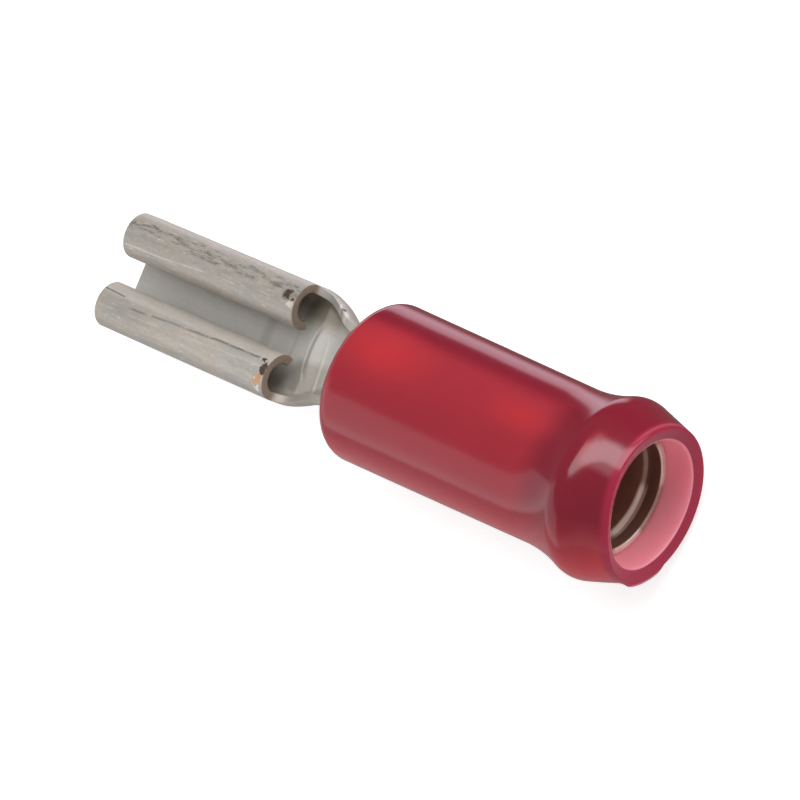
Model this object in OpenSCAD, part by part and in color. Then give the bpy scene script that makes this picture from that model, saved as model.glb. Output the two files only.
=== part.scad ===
// Insulated female spade connector for a 2.8 mm tab, lying with its open side up.
// +X points at the tab end and +Z out of the open side of the rolled box.
// X is measured from the front end of the insulating sleeve, and Z from the
// axis of the wire barrel, until placed() moves the whole part onto its rest.

/* [Tab box] */
// Width of the tab that the box takes
tab_w = 2.8; // [2.6:0.05:3.1]
// Play on each side of the tab
tab_play = 0.15; // [0.05:0.01:0.2]
// Thickness of the brass strip
stock = 0.25; // [0.22:0.01:0.32]
// Length of the rolled box
box_len = 6.75; // [5.5:0.25:8]
// Height of the box over its rolls
box_h = 1.7; // [1.6:0.05:1.8]
// Gap between the two rolls
roll_gap = 0.8; // [0.6:0.05:1]
// Angle that each roll turns through, from its side wall to its free edge
roll_turn = 205; // [190:5:220]
// Outside radius of the bend between floor and side wall
floor_bend = 0.5; // [0.4:0.05:0.65]

/* [Neck] */
// Length of the neck, from the insulating sleeve to the rolls
neck_len = 2.95; // [2.6:0.05:3.6]
// Distance from the rolls to the crease across the floor
crease_setback = 0.17; // [0.12:0.01:0.3]
// Length of the slope from the floor down to the barrel
ramp_len = 0.83; // [0.6:0.05:1]
// Distance from the insulating sleeve to where the neck starts to widen
flare_at = 0.8; // [0.6:0.05:1]
// Length of the rounded step from the rolls down to the neck's edges
step_len = 0.75; // [0.5:0.05:0.9]
// Angle that the neck's edges lean in behind the step
edge_lean = 24; // [15:1:35]

/* [Wire barrel] */
// Bore of the wire barrel
barrel_bore_d = 2; // [1.7:0.05:2.1]
// Distance from the insulating sleeve's front to the barrel's rear end
barrel_len = 6.6; // [5.8:0.1:7.2]
// Distance that the barrel reaches out of the insulating sleeve
barrel_reach = 0.5; // [0.4:0.05:0.7]
// Distance from the insulating sleeve's front to where the barrel closes
closure_at = 1.2; // [0.9:0.05:1.6]
// Width of the butt seam along the barrel
seam_w = 0.05; // [0.03:0.01:0.1]

/* [Support sleeve] */
// Wall of the copper sleeve
support_wall = 0.2; // [0.15:0.01:0.22]
// Running clearance round the barrel and inside the insulating sleeve
sleeve_fit = 0.02; // [0.01:0.005:0.03]
// Bore of the wire entry
entry_bore_d = 3.3; // [3.1:0.05:3.4]
// Length of the entry's parallel bore
entry_len = 0.65; // [0.5:0.05:0.9]
// Length of the funnel from the entry down to the barrel
funnel_len = 1.1; // [0.8:0.05:1.3]
// Distance that the copper stays back from the front end
support_setback = 0.35; // [0.2:0.05:0.6]

/* [Insulating sleeve] */
// Length of the insulating sleeve
sleeve_len = 10.4; // [10:0.1:12]
// Diameter at its front end
front_d = 4.8; // [4.6:0.05:5]
// Radius of its front edge
front_round = 0.5; // [0.3:0.05:0.6]
// Diameter at its waist
waist_d = 4.62; // [4.5:0.02:4.7]
// Diameter of the collar at its crest
collar_d = 5.28; // [5.1:0.02:5.5]
// Distance from the mouth to the collar's crest
collar_setback = 1.35; // [1.2:0.05:1.5]
// Radius of the collar's crest
collar_round = 1.6; // [1.4:0.05:1.7]
// Radius of the hollow between waist and collar
waist_round = 3.3; // [2.5:0.1:4]
// Outside diameter of the mouth
mouth_d = 4.55; // [4.45:0.05:4.65]
// Depth of the mouth in front of the copper
mouth_depth = 1.07; // [0.8:0.05:1.2]
// Depth that the mouth's face is dished
mouth_dish = 0.1; // [0:0.02:0.2]
// Depth of the flat under the collar that keeps it from rolling
collar_flat = 0.06; // [0.02:0.01:0.1]
// Depth of the flat under the front edge
edge_flat = 0.14; // [0.05:0.01:0.2]

/* [Hidden] */

$fn = 96;

// Facets of a bend and of an edge's lean in the lofted neck, and stations along it
quarter_steps = 9;
lean_steps = 5;
loft_steps = 12;
step_steps = 5;
// Depth that the loft's ends lie inside the box and the barrel, and its skin under theirs
loft_overlap = 0.1;
loft_inset = 0.02;
loft_lead = 0.01;
// Steps of a round stretch in a turned outline
arc_steps = 12;
// Overshoot of a cutting shape
cut = 1;

half_w = tab_w / 2 + tab_play + stock;
roll_r = (half_w - roll_gap / 2) / 2;
floor_z = stock - barrel_r();
roll_z = floor_z + box_h - roll_r;
bend_z = floor_z + floor_bend;
box_front = neck_len + box_len;
crease_x = neck_len - crease_setback;
ramp_end = crease_x - ramp_len;
step_x = neck_len - step_len;
closed_lean = 8;
step_lean = 3;

support_in_r = barrel_r() + sleeve_fit;
support_out_r = support_in_r + support_wall;
entry_out_r = entry_bore_d / 2 + support_wall;
support_rear = mouth_depth - sleeve_len;
funnel_rear = support_rear + entry_len;
funnel_front = funnel_rear + funnel_len;

cavity_r = support_out_r + sleeve_fit;
mouth_bore_r = entry_out_r + sleeve_fit;
crest_x = collar_setback - sleeve_len;

// Centres of the front edge's round and of the collar's crest, as [radius, x], and the
// angle between the barrel's axis and the surface that the part lies on
front_c = [front_d / 2 - front_round, -front_round];
crest_c = [collar_d / 2 - collar_round, crest_x];
crest_to_front = front_c - crest_c;
flat_depth = collar_round - collar_flat;
lie_pitch = asin((flat_depth - front_round + edge_flat) / norm(crest_to_front))
    - atan2(crest_to_front[0], crest_to_front[1]);

rest_z = crest_c[0] + flat_depth * cos(lie_pitch)
    + sqrt(collar_round * collar_round - flat_depth * flat_depth) * sin(lie_pitch);
middle_x = (box_front - sleeve_len) / 2;

function barrel_r() = barrel_bore_d / 2 + stock;
function mix(a, b, t) = a + (b - a) * t;
function ease(t) = let (c = min(1, max(0, t))) c * c * (3 - 2 * c);
function reversed(list) = [for (i = [len(list) - 1 : -1 : 0]) list[i]];
function mirrored(list) = [for (p = list) [-p[0], p[1]]];
function arc(centre, r, from, to, steps) =
    [for (i = [0 : steps]) let (a = mix(from, to, i / steps)) centre + r * [cos(a), sin(a)]];

// Moves the part onto the surface that it lies on, centred over the origin
module placed() {
    translate([-middle_x, 0, rest_z]) children();
}

// Pushes a section drawn in Y and Z along +X
module along_x(from, length) {
    translate([from, 0, 0]) rotate([90, 0, 90]) linear_extrude(length) children();
}

// Turns an outline of [radius, x] points round the barrel's axis
module turned(outline) {
    rotate([0, 90, 0]) rotate_extrude() polygon(outline);
}

module ring(r) {
    difference() {
        circle(r);
        circle(r - stock);
    }
}

// One half of the rolled box: floor, bend, side wall and roll
module box_half() {
    square_floor = half_w - floor_bend;
    translate([0, floor_z]) square([square_floor, stock]);
    translate([square_floor, bend_z]) intersection() {
        ring(floor_bend);
        translate([0, -floor_bend]) square(floor_bend);
    }
    translate([half_w - stock, bend_z]) square([stock, roll_z - bend_z]);
    translate([half_w - roll_r, roll_z]) intersection() {
        ring(roll_r);
        polygon(concat([[0, 0]], arc([0, 0], 2 * roll_r, 0, roll_turn, arc_steps)));
    }
}

// Rolled box that grips the tab
module tab_box() {
    along_x(neck_len, box_len) {
        box_half();
        mirror([1, 0]) box_half();
    }
}

// Width, floor height, bend radius, upper radius, its height and the edges' lean at x
function neck_t(x) = ease((x - flare_at) / (neck_len - flare_at));
function step_t(x) = let (d = min(1, max(0, (x - step_x) / step_len))) 1 - sqrt(1 - d * d);
function neck_w(x) = mix(barrel_r(), half_w, neck_t(x));
function neck_floor(x) = mix(-barrel_r(), floor_z, min(1, max(0, (x - ramp_end) / ramp_len)));
function neck_bend(x) = mix(barrel_r(), floor_bend, neck_t(x));
function neck_upper(x) = mix(neck_bend(x), roll_r, step_t(x));
function neck_upper_z(x) = mix(neck_floor(x) + neck_bend(x), roll_z, step_t(x));
function neck_lean(x) =
    mix(mix(closed_lean, edge_lean, ease((x - barrel_reach) / (step_x - barrel_reach))), step_lean, step_t(x));

// Right half of the neck's outline at x, a depth under its outer face: the bend
// stops one facet short of the side wall, because on the barrel it runs on into the lean
function neck_half(x, depth) =
    let (w = neck_w(x), b = neck_bend(x), u = neck_upper(x))
    concat(
        arc([w - b, neck_floor(x) + b], b - depth, -90, -90 / quarter_steps, quarter_steps - 1),
        arc([w - u, neck_upper_z(x)], u - depth, 0, neck_lean(x), lean_steps)
    );

// Whole outline at x: round the outside from left to right, and back along the inside
function neck_ring(x, inset) =
    let (outer = neck_half(x, inset), inner = neck_half(x, stock - inset))
    [for (p = concat(reversed(mirrored(outer)), outer, reversed(inner), mirrored(inner))) [x, p[0], p[1]]];

function between(from, to, steps) = [for (i = [1 : steps]) mix(from, to, i / steps)];

// Open neck between the round barrel and the flat-floored box
module neck() {
    barrel_end = barrel_reach + loft_lead;
    box_end = neck_len - loft_lead;
    stations = concat(
        [barrel_end],
        between(barrel_end, ramp_end, loft_steps),
        between(ramp_end, crease_x, loft_steps),
        [for (a = between(0, 90, step_steps)) mix(crease_x, box_end, sin(a))]
    );
    rings = concat(
        [neck_ring_at(barrel_reach - loft_overlap, barrel_end, loft_inset)],
        [for (x = stations) neck_ring(x, 0)],
        [neck_ring_at(neck_len + loft_overlap, box_end, loft_inset)]
    );
    n = len(rings[0]);
    half = n / 2;
    last = (len(rings) - 1) * n;
    sides = [for (i = [0 : len(rings) - 2], k = [0 : n - 1]) let (m = (k + 1) % n)
        [(i + 1) * n + k, (i + 1) * n + m, i * n + m, i * n + k]];
    rear_cap = [for (k = [0 : half - 2]) [k, k + 1, n - 2 - k, n - 1 - k]];
    front_cap = [for (f = rear_cap) [last + f[3], last + f[2], last + f[1], last + f[0]]];
    polyhedron(points = [for (r = rings) each r], faces = concat(sides, rear_cap, front_cap), convexity = 6);
}

// The outline at one place, moved along to another
function neck_ring_at(x, like, inset) = [for (p = neck_ring(like, inset)) [x, p[1], p[2]]];

// Closed barrel for the wire, cut back at a slope where the neck opens
module wire_barrel() {
    r = barrel_r();
    edge_z = r * sin(closed_lean);
    difference() {
        along_x(-barrel_len, barrel_len + barrel_reach) circle(r);
        along_x(-barrel_len - cut, barrel_len + barrel_reach + 2 * cut) circle(barrel_bore_d / 2);
        along_x(-barrel_len - cut, barrel_len + 2 * cut) translate([-seam_w / 2, 0]) square([seam_w, r + cut]);
        rotate([90, 0, 0]) linear_extrude(4 * r, center = true) polygon([
            [barrel_reach + cut, edge_z],
            [barrel_reach, edge_z],
            [-closure_at, r],
            [-closure_at, r + cut],
            [barrel_reach + cut, r + cut]
        ]);
    }
}

// Brass receptacle, folded from one strip
module receptacle() {
    color([0.72, 0.70, 0.66]) placed() {
        tab_box();
        neck();
        wire_barrel();
    }
}

// Copper sleeve that stiffens the insulating sleeve and guides the wire
module support_sleeve() {
    color([0.62, 0.38, 0.24]) placed() turned([
        [entry_bore_d / 2, support_rear],
        [entry_out_r, support_rear],
        [entry_out_r, funnel_rear],
        [support_out_r, funnel_front],
        [support_out_r, -support_setback],
        [support_in_r, -support_setback],
        [support_in_r, funnel_front],
        [entry_bore_d / 2, funnel_rear]
    ]);
}

// Point where a line from the mouth's edge touches the collar's crest, as an angle
function crest_touch() =
    let (d = [mouth_d / 2 - collar_d / 2 + collar_round, -collar_setback])
    atan2(d[1], d[0]) + acos(collar_round / norm(d));

// Outer outline of the insulating sleeve, from its front end back to the mouth
function sleeve_outside() =
    let (
        swing = acos(1 - (collar_d - waist_d) / 2 / (collar_round + waist_round)),
        waist_c = [waist_d / 2 + waist_round, crest_x + (collar_round + waist_round) * sin(swing)]
    )
    concat(
        arc(front_c, front_round, 90, 0, arc_steps),
        arc(waist_c, waist_round, 180, 180 + swing, arc_steps),
        arc(crest_c, collar_round, swing, crest_touch(), arc_steps),
        [[mouth_d / 2, -sleeve_len]]
    );

// What lies under the surface that the collar and the front edge rest on
module under_rest() {
    translate([crest_x, 0, -crest_c[0]]) rotate([0, -lie_pitch, 0])
        translate([-sleeve_len, -collar_d, -flat_depth - collar_d])
            cube([3 * sleeve_len, 2 * collar_d, collar_d]);
}

// Nylon sleeve with its waist, collar and dished mouth
module insulating_sleeve() {
    color([0.68, 0.10, 0.17]) placed() difference() {
        turned(concat(
            [[cavity_r, 0]],
            sleeve_outside(),
            [
                [mouth_bore_r, mouth_dish - sleeve_len],
                [mouth_bore_r, funnel_rear],
                [cavity_r, funnel_front]
            ]
        ));
        under_rest();
    }
}

receptacle();
support_sleeve();
insulating_sleeve();
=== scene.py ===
"""Looks of an insulated female spade connector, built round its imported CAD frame.

The tin-plated receptacle, the copper support sleeve and the red nylon sleeve are made
as fine meshes in the places of their CAD nodes, and all ride on the one rigid body.
"""

import math

import bmesh
import bpy
from bpy.props import FloatProperty
from bpy.props import FloatVectorProperty
from bpy.props import IntProperty
from bpy.props import PointerProperty
from mathutils import Matrix
from mathutils import Vector


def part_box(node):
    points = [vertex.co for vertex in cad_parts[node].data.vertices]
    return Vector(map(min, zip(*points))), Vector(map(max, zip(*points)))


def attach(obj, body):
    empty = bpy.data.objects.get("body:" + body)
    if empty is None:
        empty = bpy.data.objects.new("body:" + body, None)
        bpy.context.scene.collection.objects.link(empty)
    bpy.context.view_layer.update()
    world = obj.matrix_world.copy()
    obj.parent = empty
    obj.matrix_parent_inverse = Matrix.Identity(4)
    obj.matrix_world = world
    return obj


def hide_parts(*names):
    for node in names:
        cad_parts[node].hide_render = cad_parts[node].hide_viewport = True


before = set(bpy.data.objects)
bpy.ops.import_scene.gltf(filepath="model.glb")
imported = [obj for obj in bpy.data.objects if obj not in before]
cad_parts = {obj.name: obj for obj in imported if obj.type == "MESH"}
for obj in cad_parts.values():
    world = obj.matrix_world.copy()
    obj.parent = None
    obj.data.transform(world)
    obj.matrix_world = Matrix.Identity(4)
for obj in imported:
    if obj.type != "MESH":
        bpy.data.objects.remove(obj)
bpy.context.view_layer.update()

bl_info = {
    "name": "Insulated female spade connector",
    "version": (1, 0, 0),
    "blender": (4, 5, 0),
    "location": "3D View > Sidebar > Connector",
    "description": "Builds the looks of an insulated female spade connector round its CAD frame",
    "category": "Object",
}

MM = 0.001
BODY = "root"

# The receptacle's map of the flat strip has this many millimetres to one unit
MAP_SPAN = 10
# The side, seen along the axis, on which the mouth is pressed in
PRESSED_SIDE = Vector((0, 0.57, 0.82)).normalized()

# The barrel's axis runs along X: its height and the place of the nylon sleeve's front end
SUPPORT_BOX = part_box("support_sleeve")
AXIS_Z = (SUPPORT_BOX[0].z + SUPPORT_BOX[1].z) / 2
FRONT_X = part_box("insulating_sleeve")[1].x


def place(x, y, z):
    """A point given from the nylon sleeve's front end and the barrel's axis, in the row frame."""
    return Vector((FRONT_X + x, y, AXIS_Z + z))


def mix(a, b, t):
    """From a to b, as t goes from 0 to 1."""
    return a + (b - a) * t


def ease(t):
    """0 to 1 with a soft start and end, as t goes from 0 to 1."""
    t = min(1.0, max(0.0, t))
    return t * t * (3 - 2 * t)


def srgb(red, green, blue):
    """A colour given as it looks on a screen, 0 to 255, as linear values."""
    linear = []
    for part in (red, green, blue):
        part /= 255
        linear.append(part / 12.92 if part <= 0.04045 else ((part + 0.055) / 1.055) ** 2.4)
    return tuple(linear)


def length_prop(name, description, millimetres):
    return FloatProperty(
        name=name,
        description=description,
        default=millimetres * MM,
        min=0,
        unit="LENGTH",
        precision=5,
    )


def angle_prop(name, description, degrees):
    return FloatProperty(name=name, description=description, default=math.radians(degrees), subtype="ANGLE")


def level_prop(name, description, level):
    return FloatProperty(name=name, description=description, default=level, min=0)


def count_prop(name, description, number):
    return IntProperty(name=name, description=description, default=number, min=24)


def colour_prop(name, description, red, green, blue):
    return FloatVectorProperty(
        name=name,
        description=description,
        default=srgb(red, green, blue),
        size=3,
        min=0,
        max=1,
        subtype="COLOR",
    )


# Sizes and colours

class ReceptacleSizes(bpy.types.PropertyGroup):
    """Sizes of the folded brass receptacle"""

    strip: length_prop("Strip", "Thickness of the brass strip", 0.25)
    width: length_prop("Width", "Width of the box over its side walls", 3.6)
    height: length_prop("Height", "Height of the box over its rolls", 1.7)
    gap: length_prop("Gap", "Gap between the two rolls", 0.8)
    box_length: length_prop("Box length", "Length of the rolled box", 6.75)
    floor_bend: length_prop("Floor bend", "Outside radius between floor and side wall", 0.5)
    roll_turn: angle_prop("Roll turn", "Angle from a side wall to the free edge of its roll", 205)
    neck_length: length_prop("Neck length", "Length of the neck in front of the nylon sleeve", 2.95)
    crease_setback: length_prop("Crease setback", "Distance from the rolls to the floor's crease", 0.17)
    ramp_length: length_prop("Ramp length", "Length of the slope down to the barrel", 0.83)
    flare: length_prop("Flare", "From the nylon sleeve's front to where the neck starts to widen", 0.8)
    step_length: length_prop("Step length", "Length of the rounded step down from the rolls", 0.75)
    step_lean: angle_prop("Step lean", "Angle that the edges lean in at the rolls", 3)
    edge_lean: angle_prop("Edge lean", "Angle that the neck's edges lean in behind the step", 24)
    closed_lean: angle_prop("Barrel lean", "Angle that the edges lean in where the barrel starts", 8)
    barrel_bore: length_prop("Barrel bore", "Inside diameter of the wire barrel", 2)
    barrel_length: length_prop("Barrel length", "From the nylon sleeve's front to the barrel's end", 6.6)
    barrel_reach: length_prop("Barrel reach", "How far the barrel stands out of the nylon sleeve", 0.5)
    closure: length_prop("Closure", "From the nylon sleeve's front to where the barrel closes", 1.2)
    seam: length_prop("Seam", "Width of the butt seam along the barrel", 0.05)
    edge_round: length_prop("Edge round", "Width of the rounded edges of the strip", 0.065)
    neck_offset: length_prop("Neck offset", "How far the neck was pushed off the middle", 0.07)
    box_offset: length_prop("Box offset", "How far the box was pushed off the middle at its rear", 0.035)
    box_slew: angle_prop("Box slew", "Angle that the box was turned back towards the middle", 0.77)
    end_pull: length_prop("End pull", "How far the rolls' rear ends were drawn forward", 0.045)


class SupportSizes(bpy.types.PropertyGroup):
    """Sizes of the copper support sleeve"""

    wall: length_prop("Wall", "Thickness of the copper", 0.2)
    entry_bore: length_prop("Entry bore", "Inside diameter of the wire entry", 3.3)
    entry_length: length_prop("Entry length", "Length of the entry's parallel bore", 0.5)
    funnel_length: length_prop("Funnel length", "Length of the funnel down to the barrel", 1.1)
    barrel_bore: length_prop("Barrel bore", "Inside diameter round the wire barrel", 2.54)
    ledge: length_prop("Ledge", "Depth of the ledge at the funnel's foot", 0.1)
    setback: length_prop("Setback", "Distance that it stays back from the nylon's front end", 0.35)
    edge_round: length_prop("Edge round", "Radius of its drawn edges", 0.06)
    bend_round: length_prop("Bend round", "Outside radius at both ends of the funnel", 0.15)
    throat_round: length_prop("Throat round", "Inside radius where the funnel meets the barrel", 0.12)
    ledge_round: length_prop("Ledge round", "Radius of the ledge's corners", 0.03)
    segments: count_prop("Segments", "Facets round the axis", 160)


class SleeveSizes(bpy.types.PropertyGroup):
    """Sizes of the moulded nylon sleeve"""

    length: length_prop("Length", "Length of the nylon sleeve", 10.4)
    front: length_prop("Front", "Diameter at the front end", 4.8)
    front_round: length_prop("Front round", "Radius of the front edge", 0.5)
    waist: length_prop("Waist", "Diameter at the waist", 4.62)
    waist_round: length_prop("Waist round", "Radius of the hollow between waist and collar", 4.2)
    collar: length_prop("Collar", "Diameter at the collar's crest", 5.28)
    collar_round: length_prop("Collar round", "Radius of the collar's crest", 0.7)
    collar_setback: length_prop("Collar setback", "Distance from the mouth to the crest", 1.35)
    mouth: length_prop("Mouth", "Outside diameter of the mouth", 4.55)
    mouth_bore: length_prop("Mouth bore", "Inside diameter of the mouth", 3.74)
    mouth_depth: length_prop("Mouth depth", "Depth of the mouth in front of the copper", 0.97)
    dish: length_prop("Dish", "Depth that the mouth's face is dished", 0.1)
    cavity: length_prop("Cavity", "Inside diameter round the copper", 2.98)
    collar_flat: length_prop("Collar flat", "Depth of the flat under the collar", 0.06)
    edge_flat: length_prop("Edge flat", "Depth of the flat under the front edge", 0.14)
    bore_press: length_prop("Bore press", "How far the mouth's bore is pressed in on its upper side", 0.28)
    rim_press: length_prop("Rim press", "How far the mouth's outer edge is pressed in there", 0.45)
    lip: length_prop("Lip", "How far the flash stands out of the mouth's edge", 0.1)
    front_slant: length_prop("Front slant", "How far the front end is cut back on its far upper side", 0.18)
    mouth_round: length_prop("Mouth round", "Radius of the mouth's two edges", 0.05)
    inner_round: length_prop("Inner round", "Radius of the cavity's front edge", 0.08)
    seat: length_prop("Seat", "Length of the mouth's bore that grips the copper", 0.5)
    taper: length_prop("Taper", "Length from the seat down to the cavity", 1.1)
    segments: count_prop("Segments", "Facets round the axis", 192)


class Finishes(bpy.types.PropertyGroup):
    """Colours of the three materials"""

    tin: colour_prop("Tin", "Tin plate on the rolls", 197, 192, 184)
    tin_warm: colour_prop("Warm tin", "Warmer tint in patches of the tin plate", 200, 190, 179)
    # Painted light: lighter, cooler tin for the light inside the box and the neck, also a painted reflection
    # on the far roll's side
    tin_painted_light: colour_prop("Tin shade", "Cooler tin plate inside the box and the neck", 224, 221, 215)
    # Painted shade: darker, duller tin for the hollows of the rolls and the foot of the neck
    tin_hollow_shade: colour_prop("Tin hollow", "Dulled tin plate in the hollow of the rolls", 148, 137, 112)
    tin_cut: colour_prop("Cut edge", "Sheared edges of the rolls' ends", 178, 160, 142)
    # Dark marks in the tin plate, also the painted shade in the valley and the dents of the floor
    tin_marks_and_shade: colour_prop("Tin marks", "Rubbed marks in the tin plate", 104, 99, 90)
    worn_brown: colour_prop("Worn brown", "Tarnish round the worn ends of the rolls", 72, 48, 32)
    bare_copper: colour_prop("Bare copper", "Copper flash where the tin is worn through", 226, 176, 138)
    # Painted highlight on the ridges, specks and crests, and bright worn tin at some spots
    bright_tin_and_highlight: colour_prop("Bright tin", "Tin rubbed bright on ridges and nicks", 244, 240, 232)
    nylon: colour_prop("Nylon", "Red nylon", 142, 20, 45)
    nylon_lit: colour_prop("Lit nylon", "Nylon over the copper, which sends light back", 176, 40, 56)
    # Painted light: a lit copy of the nylon for its low near side
    nylon_floor_lit: colour_prop("Low nylon", "Nylon low on the near side, lit from the floor", 210, 48, 62)
    # Painted reflection of a lamp on the collar
    nylon_collar_reflection: colour_prop("Hazy nylon", "Rubbed patch of nylon on the collar", 166, 88, 98)
    nylon_glow: colour_prop("Nylon glow", "Nylon with the copper close behind it", 204, 46, 56)
    nylon_rim: colour_prop("Nylon rim", "Rim of the mouth", 176, 34, 70)
    # Painted light: pale nylon for the mouth's bore, lit through its thin wall, and a painted glint on the
    # lip
    nylon_bore_lit: colour_prop("Nylon bore", "Thin nylon of the mouth", 212, 134, 146)
    copper: colour_prop("Copper", "Drawn copper", 146, 114, 94)
    # Painted highlight on the copper's rear edge and the funnel's foot
    copper_highlight: colour_prop("Copper edge", "Bright rubbed edges of the copper", 250, 236, 222)


class StudioSettings(bpy.types.PropertyGroup):
    """Floor, lamps and camera"""

    floor: colour_prop("Floor", "Pale floor", 236, 236, 236)
    floor_white: level_prop("Floor white", "White that the camera sees on it", 0.66)
    card: level_prop("Card", "White of the card that the sleeve's far side mirrors", 1.55)
    horizon: level_prop("Horizon", "Radiance of the surround at its near foot", 0.70)
    horizon_far: level_prop("Far horizon", "The same behind the object", 0.22)
    ceiling: level_prop("Ceiling", "Radiance of the surround overhead", 0.34)
    side_lamp: level_prop("Side lamp", "Radiance of the large side lamp", 0.68)
    top_lamp: level_prop("Top lamp", "Radiance of the top lamp", 3.4)
    lens: FloatProperty(
        name="Lens",
        description="Focal length of the camera",
        default=196.28,
        min=1,
        unit="CAMERA",
    )


# Outlines

def arc(centre, radius, first, last, steps):
    """Points on an arc from one angle to another, with both ends. Angles are in radians."""
    points = []
    for i in range(steps + 1):
        angle = mix(first, last, i / steps)
        points.append((centre[0] + radius * math.cos(angle), centre[1] + radius * math.sin(angle)))
    return points


def rounded_corner(before, corner, after, radius, steps=5):
    """An arc that takes the place of a corner between two straight lines."""
    a = Vector(before) - Vector(corner)
    b = Vector(after) - Vector(corner)
    half = a.angle(b) / 2
    reach = radius / math.tan(half)
    start = Vector(corner) + a.normalized() * reach
    end = Vector(corner) + b.normalized() * reach
    centre = Vector(corner) + (a.normalized() + b.normalized()).normalized() * (radius / math.sin(half))
    points = []
    for i in range(steps + 1):
        along = start.lerp(end, i / steps) - centre
        points.append(tuple(centre + along.normalized() * radius))
    return points


def filled_in(points, longest):
    """The same closed outline with points added where two are far apart."""
    out = []
    for i, first in enumerate(points):
        second = points[(i + 1) % len(points)]
        gap = math.dist(first, second)
        steps = max(1, math.ceil(gap / longest))
        for k in range(steps):
            out.append((mix(first[0], second[0], k / steps), mix(first[1], second[1], k / steps)))
    return out


# Turned parts, made by Geometry Nodes

def lathe_nodes():
    """A node group that turns an outline, a run of points in X and Y, round the X axis."""
    group = bpy.data.node_groups.new("turn_outline", "GeometryNodeTree")
    group.interface.new_socket("Outline", in_out="INPUT", socket_type="NodeSocketGeometry")
    group.interface.new_socket("Segments", in_out="INPUT", socket_type="NodeSocketInt")
    group.interface.new_socket("Axis height", in_out="INPUT", socket_type="NodeSocketFloat")
    group.interface.new_socket("Merge distance", in_out="INPUT", socket_type="NodeSocketFloat")
    group.interface.new_socket("Material", in_out="INPUT", socket_type="NodeSocketMaterial")
    group.interface.new_socket("Geometry", in_out="OUTPUT", socket_type="NodeSocketGeometry")

    def node(kind, settings=None, links=None):
        made = group.nodes.new(kind)
        for key, value in (settings or {}).items():
            setattr(made, key, value)
        for key, value in (links or {}).items():
            if isinstance(value, bpy.types.NodeSocket):
                group.links.new(value, made.inputs[key])
            else:
                made.inputs[key].default_value = value
        return made

    def maths(operation, first, second):
        return node("ShaderNodeMath", {"operation": operation}, {0: first, 1: second}).outputs[0]

    given = node("NodeGroupInput").outputs
    domain = node("GeometryNodeAttributeDomainSize", None, {"Geometry": given["Outline"]})
    count = domain.outputs["Point Count"]
    rows = maths("ADD", count, 1)
    columns = maths("ADD", given["Segments"], 1)
    grid = node(
        "GeometryNodeMeshGrid",
        None,
        {"Size X": 1.0, "Size Y": 1.0, "Vertices X": rows, "Vertices Y": columns},
    ).outputs["Mesh"]
    across = node("ShaderNodeSeparateXYZ", None, {0: node("GeometryNodeInputPosition").outputs[0]}).outputs
    row = maths("ROUND", maths("MULTIPLY", maths("ADD", across["X"], 0.5), count), 0.0)
    index = maths("FLOORED_MODULO", row, count)
    turn = maths("MULTIPLY", maths("ADD", across["Y"], 0.5), math.tau)
    sample = node(
        "GeometryNodeSampleIndex",
        {"data_type": "FLOAT_VECTOR", "domain": "POINT"},
        {"Geometry": given["Outline"], "Index": index},
    )
    group.links.new(node("GeometryNodeInputPosition").outputs[0], sample.inputs["Value"])
    outline = node("ShaderNodeSeparateXYZ", None, {0: sample.outputs[0]}).outputs
    across_y = maths("MULTIPLY", outline["Y"], maths("COSINE", turn, 0.0))
    across_z = maths("MULTIPLY", outline["Y"], maths("SINE", turn, 0.0))
    position = node(
        "ShaderNodeCombineXYZ",
        None,
        {"X": outline["X"], "Y": across_y, "Z": maths("ADD", across_z, given["Axis height"])},
    ).outputs[0]
    shaped = node("GeometryNodeSetPosition", None, {"Geometry": grid, "Position": position}).outputs[0]
    merged = node(
        "GeometryNodeMergeByDistance",
        None,
        {"Geometry": shaped, "Distance": given["Merge distance"]},
    ).outputs[0]
    smooth = node("GeometryNodeSetShadeSmooth", None, {"Geometry": merged, "Shade Smooth": True}).outputs[0]
    real = node("GeometryNodeRealizeInstances", None, {"Geometry": smooth}).outputs[0]
    painted = node(
        "GeometryNodeSetMaterial",
        None,
        {"Geometry": real, "Material": given["Material"]},
    ).outputs[0]
    node("NodeGroupOutput", None, {"Geometry": painted})
    return group


def turned(name, outline, segments, material):
    """A part turned round the barrel's axis, from a closed outline of (radius, x) pairs."""
    source = bpy.data.meshes.new(name + "_outline")
    points = [(FRONT_X + x, radius, 0.0) for radius, x in outline]
    edges = [(i, i + 1) for i in range(len(points) - 1)]
    source.from_pydata(points, edges, [])
    holder = bpy.data.objects.new(name + "_outline", source)
    bpy.context.scene.collection.objects.link(holder)
    group = lathe_nodes()
    modifier = holder.modifiers.new("turn", "NODES")
    modifier.node_group = group
    given = {
        "Segments": segments,
        "Axis height": AXIS_Z,
        "Merge distance": 1e-7,
        "Material": material,
    }
    for item in group.interface.items_tree:
        if item.in_out == "INPUT" and item.name in given:
            modifier[item.identifier] = given[item.name]
    bpy.context.view_layer.update()
    evaluated = holder.evaluated_get(bpy.context.evaluated_depsgraph_get())
    mesh = bpy.data.meshes.new_from_object(evaluated)
    mesh.name = name
    bpy.data.objects.remove(holder)
    bpy.data.meshes.remove(source)
    bpy.data.node_groups.remove(group)
    turn_faces_outward(mesh)
    piece = bpy.data.objects.new(name, mesh)
    bpy.context.scene.collection.objects.link(piece)
    return piece


def turn_faces_outward(mesh):
    """Turns every face of a closed mesh outward."""
    work = bmesh.new()
    work.from_mesh(mesh)
    bmesh.ops.recalc_face_normals(work, faces=work.faces)
    if work.calc_volume(signed=True) < 0:
        bmesh.ops.reverse_faces(work, faces=work.faces)
    work.to_mesh(mesh)
    work.free()


# Shader graphs

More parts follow.
